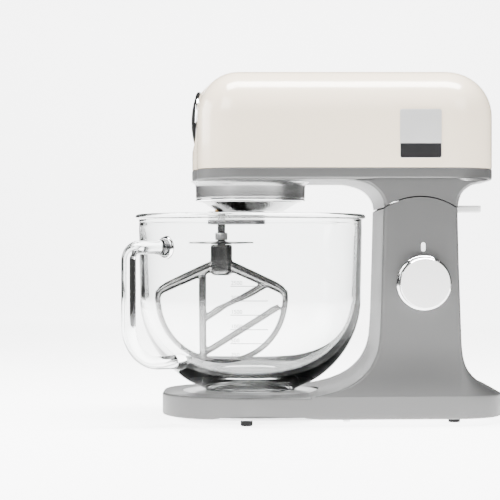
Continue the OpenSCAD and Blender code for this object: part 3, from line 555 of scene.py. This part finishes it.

# %% [markdown]
# Speed knob: a spun satin disc with a fine bright chamfer, on a dark shadow gap. The face is
# flat, with a small round at its rim. A short groove marks its edge.

# %%
low, high = local("speed_knob")
knob_x, knob_z = (low.x + high.x) / 2, (low.z + high.z) / 2
front = -low.y
knob_depth = 17.4
back = front - knob_depth
section = [(0, 0.6), (26.4, 0.6), (26.9, 1.2), (26.9, 2.2), (26.3, 2.8), (25.6, 3.2), (25.1, 15.6),
           (24.9, 16.5), (24.2, 17.2)]
bm = spun([(r, h + back) for r, h in section + [(23.6, 17.3), (0, 17.3)]], (knob_x, 0, knob_z), "-Y",
          128)
knob = piece("speed_knob_turned", bm, slot_finish["cap_chrome"], 30)
knob.data.materials.append(slot_finish["knob_satin"])
face_y = -(front - 0.5) * MM
for face in knob.data.polygons:
    if face.center.y < face_y and abs(face.normal.y) > 0.95:
        face.material_index = 1
groove = piece("groove", box_shape(knob_x - 0.7, knob_x + 0.7, -(front - 1), -(back + 5),
                                   knob_z + 24.2, knob_z + 27), None)
cut(knob, groove)
shade(knob, 30)
even_shading(knob)
install(knob, "knob", "knob_satin", "speed_knob")

# %% [markdown]
# Indicator light: a small pill-shaped lens, bevelled and standing a hair proud of the column.

# %%
low, high = local("indicator_light")
bm = box_shape(low.x, high.x, low.y - 0.1, high.y, low.z, high.z)
bevel_where(bm, lambda m, d: abs(d.y) > 1e-4, (high.x - low.x) / 2 - 0.05, 10)
near = (low.y - 0.1) * MM
bevel_where(bm, lambda m, d: m.y < near + 1e-5, 0.25, 3)
light = piece("indicator_lens", bm, slot_finish["light_lens"], 40)
install(light, "base", "light_lens", "indicator_light")

# %% [markdown]
# Badge: a blank satin plate with rounded corners and a plain dark panel at its foot. It carries
# no name or mark.

# %%
low, high = local("badge_plate")
bm = box_shape(low.x, high.x, low.y, high.y + 0.6, low.z, high.z)
bevel_where(bm, lambda m, d: abs(d.y) > 1e-4, 2.2, 6)
near = low.y * MM
bevel_where(bm, lambda m, d: m.y < near + 1e-6, 0.35, 3)
badge = piece("badge_blank_plate", bm, slot_finish["badge_blank"], 40)
install(badge, "head", "badge_blank", "badge_plate")
panel_top = low.z + (high.z - low.z) * 0.30
bm = box_shape(low.x + 0.3, high.x - 0.3, low.y - 0.12, high.y, low.z + 0.3, panel_top)
bevel_where(bm, lambda m, d: abs(d.y) > 1e-4 and m.z < (low.z + 1) * MM, 2.0, 6)
panel = piece("badge_dark_panel", bm, black_print, 40)
install(panel, "head", "badge_blank")

# %% [markdown]
# Release lever: a flat satin bar with rounded edges, and its root inside the neck. The bar is a
# bevelled box, which is what a machined or cast tab is.

# %%
low, high = lever_low, lever_high
bm = box_shape(209, high.x, low.y, high.y, 212, 219.2)
bevel_where(bm, lambda m, d: abs(d.z) > 1e-4 and m.x > (axis_x + 0.22), 4, 6)
bevel_where(bm, lambda m, d: abs(d.z) < 1e-3, 1.3, 4)
lever = piece("release_lever_bar", bm, slot_finish["lever_metal"], 40)
root = box_shape(196, 211.5, -8, 8, 217, 229)
bevel_where(root, lambda m, d: True, 2.2, 3)
cut(lever, piece("root", root, None), "UNION")
shade(lever, 35)
install(lever, "lever", "lever_metal", "release_lever")

# %% [markdown]
# Pivot plug: a small domed cap that hides the end of the hinge pin on the far side.

# %%
low, high = local("hinge_pin_plug")
plug = piece("pivot_plug", spun([(0, low.y), (9, low.y), (9, high.y - 0.5), (8.4, high.y),
                                 (5, high.y + 0.25), (0, high.y + 0.4)], (pivot[0], 0, pivot[1]),
                                "Y", 56), slot_finish["silver_paint"], 40)
install(plug, "base", "silver_paint", "hinge_pin_plug")

# %% [markdown]
# Planetary drive: a bright dished hub with a rolled edge, and the rounded block that holds the
# tool socket, cut from one bar with bevelled edges.

# %%
low, high = local("planet_hub")
dish = [(0, low.z), (33.2, low.z), (34.2, low.z + 0.5), (41, low.z + 4.6), (47, low.z + 8.2),
        (49.2, low.z + 9.4), (49.6, low.z + 10.2), (49.2, high.z), (0, high.z)]
hub = piece("planet_dish", spun(dish, (0, 0, 0), steps=128), slot_finish["hub_metal"], 30)
install(hub, "hub", "hub_metal", "planet_hub")
low, high = local("socket_block")
bm = box_shape(low.x, high.x, low.y, high.y, low.z, high.z)
bevel_where(bm, lambda m, d: abs(d.z) > 1e-4, 19.6, 14)
bottom = low.z * MM
bevel_where(bm, lambda m, d: m.z < bottom + 1e-6, 1.8, 4)
block = piece("socket_housing", bm, slot_finish["hub_metal"], 35)
planet_x = sum(v.x for v in local("beater_shank")) / 2
bore = spun([(0, -5), (8.5, -5), (8.5, 0.2), (8.1, 1), (8.1, 30), (0, 30)], (planet_x, 0, low.z))
cut(block, piece("bore", bore, None))
shade(block, 35)
even_shading(block)
install(block, "hub", "hub_metal", "socket_block")

# %% [markdown]
# Beater: cast in one piece, so its bars run into each other with small fillets. Swept bars are
# fused by remeshing at under a millimetre and smoothed, which makes those fillets. The bars are one
# upright and two level rising braces inside the rim.

# %%
low, high = local("beater_frame")
half_w = (high.x - low.x) / 2
sleeve_low, sleeve_high = 146.6, 178.5
beater_low = low.z
shoulder = 122


def bar(points, radii, bm):
    return swept([place(planet_x + x, 0, z) for x, z in points], radii, 16, bm)


bm = bmesh.new()
bowl_curve = arc(0, shoulder, half_w - 2.9, shoulder - beater_low - 2.9, 8, -188, 44)
bar(bowl_curve, (5.2, 3.1), bm)
for side in (-1, 1):
    arm = [(side * 5, 158), (side * 20, 151.5), (side * 40, 142.6), (side * 56, 135.6),
           (side * 62.5, 132), (side * 65.4, 128), (side * 66.1, 122)]
    bar(arm, [(5.5, 5.6), (5.5, 5.5), (5.5, 5.2), (5.5, 4.7), (5.4, 4.0), (5.3, 3.4), (5.2, 3.1)], bm)
upright_x = -19.5
bar([(upright_x, 52), (upright_x, 90), (upright_x, 151)], (4.9, 4.0), bm)
bar([(upright_x, 98), (14, 120.6), (49, 139)], (4.6, 3.5), bm)
bar([(upright_x, 60), (14, 82.6), (52, 107.6), (60, 112.6)], (4.6, 3.5), bm)
sleeve = [(0, sleeve_low), (8.6, sleeve_low), (10.6, sleeve_low + 1.4), (11.2, sleeve_low + 4),
          (11.2, sleeve_high - 1.2), (10.4, sleeve_high), (0, sleeve_high)]
tube = spun(sleeve, (planet_x, 0, 0), steps=48)
mesh = bpy.data.meshes.new("tube")
tube.to_mesh(mesh)
tube.free()
bm.from_mesh(mesh)
beater = piece("beater_casting", bm, None)
fuse = beater.modifiers.new("fuse", "REMESH")
fuse.mode = "VOXEL"
fuse.voxel_size = 0.0009
soften = beater.modifiers.new("soften", "SMOOTH")
soften.factor = 0.5
soften.iterations = 5
apply_modifiers(beater)
beater.data.materials.clear()
beater.data.materials.append(slot_finish["tool_steel"])
shade(beater, 60)
install(beater, "tool", "tool_steel", "beater_frame")

low, high = local("splash_disc")
disc_r = (high.x - low.x) / 2
points = [(4.1, low.z), (11, low.z + 0.2), (disc_r - 3, low.z + 0.9), (disc_r - 0.7, low.z + 0.8),
          (disc_r, low.z + 1.5), (disc_r - 0.3, low.z + 2.4), (disc_r - 1.6, low.z + 2.7),
          (disc_r - 4, low.z + 2.3), (12, high.z - 0.6), (4.1, high.z)]
disc = piece("splash_plate", spun(points, (planet_x, 0, 0), closed=True),
             slot_finish["tool_steel"], 50)
install(disc, "tool", "tool_steel", "splash_disc")
low, high = local("beater_nut")
bm = bmesh.new()
bmesh.ops.create_cone(bm, cap_ends=True, segments=6, radius1=7.3 * MM, radius2=7.3 * MM,
                      depth=(high.z - low.z) * MM)
bm.transform(Matrix.Translation(place(planet_x, 0, (low.z + high.z) / 2)))
bevel_where(bm, lambda m, d: abs(d.z) < 1e-5, 0.8, 3)
bevel_where(bm, lambda m, d: abs(d.z) > 3e-3, 0.3, 2)
nut = piece("beater_lock_nut", bm, slot_finish["steel_screws"], 30)
install(nut, "tool", "steel_screws", "beater_nut")

# %% [markdown]
# Glass bowl: a closed section, inside and outside, spun once. A single skin would not bend light
# as thick pressed glass does. The rim is a rolled bead, and the pouring lip is drawn out of the
# wall by moving the glass near one bearing.

# %%
low, high = local("glass_bowl")
rim_r, rim_z = (high.y - low.y) / 2, high.z
bead = 2.65
section = [(0, 31.2), (30, 31.2), (34.5, 30.6), (36.4, 28.5), (37, 24), (38.2, 22.4), (40.5, 22.1),
           (43, 22.4), (44.3, 24), (44.6, 27.5)]
section += arc(12.9, 124.1, 101.2, 98.75, -70.2, -3.5, 26)
section += [(114.3, 138), (114.6, 155), (114.9, 172), (115.1, 186), (115.2, 197)]
section += [(rim_r - 3.8, rim_z - 6.5), (rim_r - 3.4, rim_z - 5.6)]
section += arc(rim_r - bead, rim_z - bead, bead, bead, -70, 190, 12)
section += [(rim_r - 7.6, rim_z - 5.4), (rim_r - 8.0, rim_z - 9), (110.6, 180), (109.9, 160),
            (109.3, 142)]
section += arc(20, 128, 89, 87, 0, -84, 26) + [(24, 41.2), (12, 40.8), (0, 40.6)]
bm = spun(section, (0, 0, 0), steps=160)
lip_turn = math.radians(43)
for v in bm.verts:
    dx, dy = v.co.x - axis_x, v.co.y
    away = math.atan2(dy, dx) - lip_turn
    across = math.exp(-(math.degrees(away) / 7.0) ** 4)
    rise = max(0.0, min(1.0, (v.co.z / MM - 186) / (rim_z - 186)))
    push = 7.5 * MM * across * rise * rise * (3 - 2 * rise)
    v.co.x += math.cos(lip_turn) * push
    v.co.y += math.sin(lip_turn) * push
    v.co.z -= 1.6 * MM * across * rise * rise
bowl = piece("glass_bowl_pressed", bm, slot_finish["bowl_glass"], 50)
install(bowl, "bowl", "bowl_glass", "glass_bowl")

# %% [markdown]
# Bowl handle: one glass rod, a little taller than wide, bent to a grip. The section is carried
# along the bends and bridged. A bright chrome ring and a dark disc finish its upper root on the glass.

# %%
turn = math.radians(180 + 43)
reach = 162.0


def on_handle(r, z, off=0.0):
    return place(r * math.cos(turn) - off * math.sin(turn), r * math.sin(turn) + off * math.cos(turn), z)


top_z, low_z, top_bend, low_bend = 176, 62, 13, 38
line = [(113.6, top_z), (120, top_z), (130, top_z), (140, top_z)]
line += arc(reach - top_bend, top_z - top_bend, top_bend, top_bend, 90, 0, 10)
line += [(reach, z) for z in (150, 138, 126, 114)]
line += arc(reach - low_bend, low_z + low_bend, low_bend, low_bend, 0, -90, 18)
line += [(116, low_z), (108, low_z), (101, low_z), (95.5, low_z + 0.4)]
path = [on_handle(r, z) for r, z in line]
tangential = Vector((-math.sin(turn), math.cos(turn), 0))
sizes = [(8.2, 6.6)] * len(path)
sizes[0] = sizes[1] = (9.4, 8.6)
sizes[-1], sizes[-2], sizes[-3] = (10.5, 8.6), (9.6, 7.6), (8.8, 7.0)
handle = piece("handle_glass_rod", swept(path, sizes, 32, None, tangential),
               slot_finish["bowl_glass"], 60)
install(handle, "bowl", "bowl_glass", "bowl_handle")

# %% [markdown]
# Measuring scale: plain volume lines and numbers, printed on the near side of the glass. They are
# laid out flat, then each point is moved back onto the curve of the bowl.

# %%
def wall_radius(z):
    if z > 124.1:
        return 114.1 + (z - 124.1) * 0.02
    return 12.9 + 101.2 * math.sqrt(1 - ((z - 124.1) / 98.75) ** 2)


marks = bmesh.new()
scale_rows = [(138.3, "2500"), (124.0, "2000"), (110.2, "1500"), (95.9, "1000"), (82.0, "500"),
              (67.6, "250")]
for z, words in scale_rows:
    grid = bmesh.ops.create_grid(marks, x_segments=24, y_segments=1, size=0.5)["verts"]
    for v in grid:
        v.co = Vector((-19.6 + (v.co.x + 0.5) * 36.8, v.co.y * 0.7 + z, 0))
    labels = [(words, -19.0)]
    if words == "2500":
        labels.append(("ml", 10.2))
    for text, x in labels:
        curve = bpy.data.curves.new("words", "FONT")
        curve.body = text
        curve.size = 5.6
        label = bpy.data.objects.new("words", curve)
        bpy.context.scene.collection.objects.link(label)
        bpy.context.view_layer.update()
        mesh = bpy.data.meshes.new_from_object(
            label.evaluated_get(bpy.context.evaluated_depsgraph_get()))
        mesh.transform(Matrix.Translation((x, z + 1.3, 0)))
        marks.from_mesh(mesh)
        bpy.data.objects.remove(label)
for v in marks.verts:
    x, z = v.co.x, v.co.y
    r = wall_radius(z) + 0.09
    v.co = place(x, -math.sqrt(r * r - x * x), z)
scale = piece("bowl_scale_print", marks, print_ink, 60, 1e-7)
install(scale, "bowl", "bowl_glass")

# %% [markdown]
# Ring and disc at the handle's upper root: turned parts on the handle's own axis.

# %%
def root_part(name, points, material, closed=False):
    bm = spun(points, (0, 0, 0), steps=64, closed=closed)
    bm.transform(Matrix.Translation(-place(0, 0, 0)))
    bm.transform(Matrix.Translation(on_handle(0, top_z)) @ Matrix.Rotation(turn, 4, "Z")
                 @ Matrix.Rotation(math.pi / 2, 4, "Y"))
    return piece(name, bm, material, 40)


root_disc = root_part("handle_root_disc", [(0, 112.9), (8.4, 112.9), (8.4, 114.6), (0, 114.6)],
                      slot_finish["dark_plastic"])
install(root_disc, "bowl", "dark_plastic")
ring = root_part("handle_root_ring", [(9.0, 112.4), (10.8, 112.3), (11.6, 113.2), (11.4, 115.2),
                                      (10.4, 116.2), (9.0, 116.2)], slot_finish["cap_chrome"], True)
install(ring, "bowl", "cap_chrome")

# %% [markdown]
# Stage: a plain pale floor that curves up behind. Only its middle glows, and the wall beside that is
# grey, so that the glass and the bright metal have something darker to show at their edges. Four soft
# lights stand above and to the sides.

# %%
bm = bmesh.new()
profile = [(-3.2, 0), (-0.75, 0), (2.6, 0)]
profile += [(2.6 + 0.8 * math.sin(math.radians(a)), 0.8 - 0.8 * math.cos(math.radians(a)))
            for a in range(10, 91, 10)] + [(3.4, 1.1), (3.4, 3.6)]
verts = [bm.verts.new((-4, y, z)) for y, z in profile]
edges = [bm.edges.new(p) for p in zip(verts, verts[1:])]
for width in (3.14, 1.6, 3.26):
    strip = bmesh.ops.extrude_edge_only(bm, edges=edges)["geom"]
    bmesh.ops.translate(bm, verts=[v for v in strip if isinstance(v, bmesh.types.BMVert)],
                        vec=(width, 0, 0))
    edges = [e for e in strip if isinstance(e, bmesh.types.BMEdge)]
plain_white = finish("floor_white", (0.8, 0.8, 0.8), 0.7, 0, 8, 0.005, 0.0)
backdrop_grey = finish("backdrop_grey", (0.12, 0.12, 0.12), 0.8, 0, 8, 0.005, 0.0)
lit_white = finish("floor_lit", (0.9, 0.9, 0.9), 0.7, 0, 8, 0.003, 0.0, glow=5.5)
floor = piece("floor_sweep", bm, plain_white, 60)
floor.data.materials.append(lit_white)
floor.data.materials.append(backdrop_grey)
for face in floor.data.polygons:
    middle = face.center
    if abs(middle.x + 0.06) < 0.8 and middle.y > -0.7 and middle.z < 1.15:
        face.material_index = 1
    elif middle.y > 2.6:
        face.material_index = 2


def softbox(name, where, aim, size, power):
    data = bpy.data.lights.new(name, "AREA")
    data.shape = "RECTANGLE"
    data.size, data.size_y = size
    data.energy = power
    lamp = bpy.data.objects.new(name, data)
    bpy.context.scene.collection.objects.link(lamp)
    lamp.location = where
    lamp.rotation_euler = (Vector(aim) - Vector(where)).to_track_quat("-Z", "Y").to_euler()


softbox("overhead", (0.05, -0.1, 1.35), (0.05, -0.02, 0.2), (1.3, 0.36), 90)
softbox("high_left", (-1.3, -1.2, 1.25), (0.0, 0.0, 0.2), (0.9, 0.9), 33)
softbox("side_left", (-1.3, 0.4, 0.6), (-0.06, 0.0, 0.22), (0.8, 0.5), 14)
softbox("high_right", (1.2, -1.3, 1.25), (0.0, 0.0, 0.2), (0.9, 0.9), 14)

world = bpy.data.worlds.new("studio_world")
bpy.context.scene.world = world
world.use_nodes = True
world.node_tree.nodes["Background"].inputs["Color"].default_value = (0.5, 0.5, 0.5, 1)
world.node_tree.nodes["Background"].inputs["Strength"].default_value = 0.2

camera_data = bpy.data.cameras.new("camera")
camera_data.lens = 128.8
camera = bpy.data.objects.new("camera", camera_data)
bpy.context.scene.collection.objects.link(camera)
camera.location = (axis_x - 0.0004, -1.85, 0.1735)
camera.rotation_euler = (math.pi / 2, 0, 0)
bpy.context.scene.camera = camera
print("stage and camera ready")
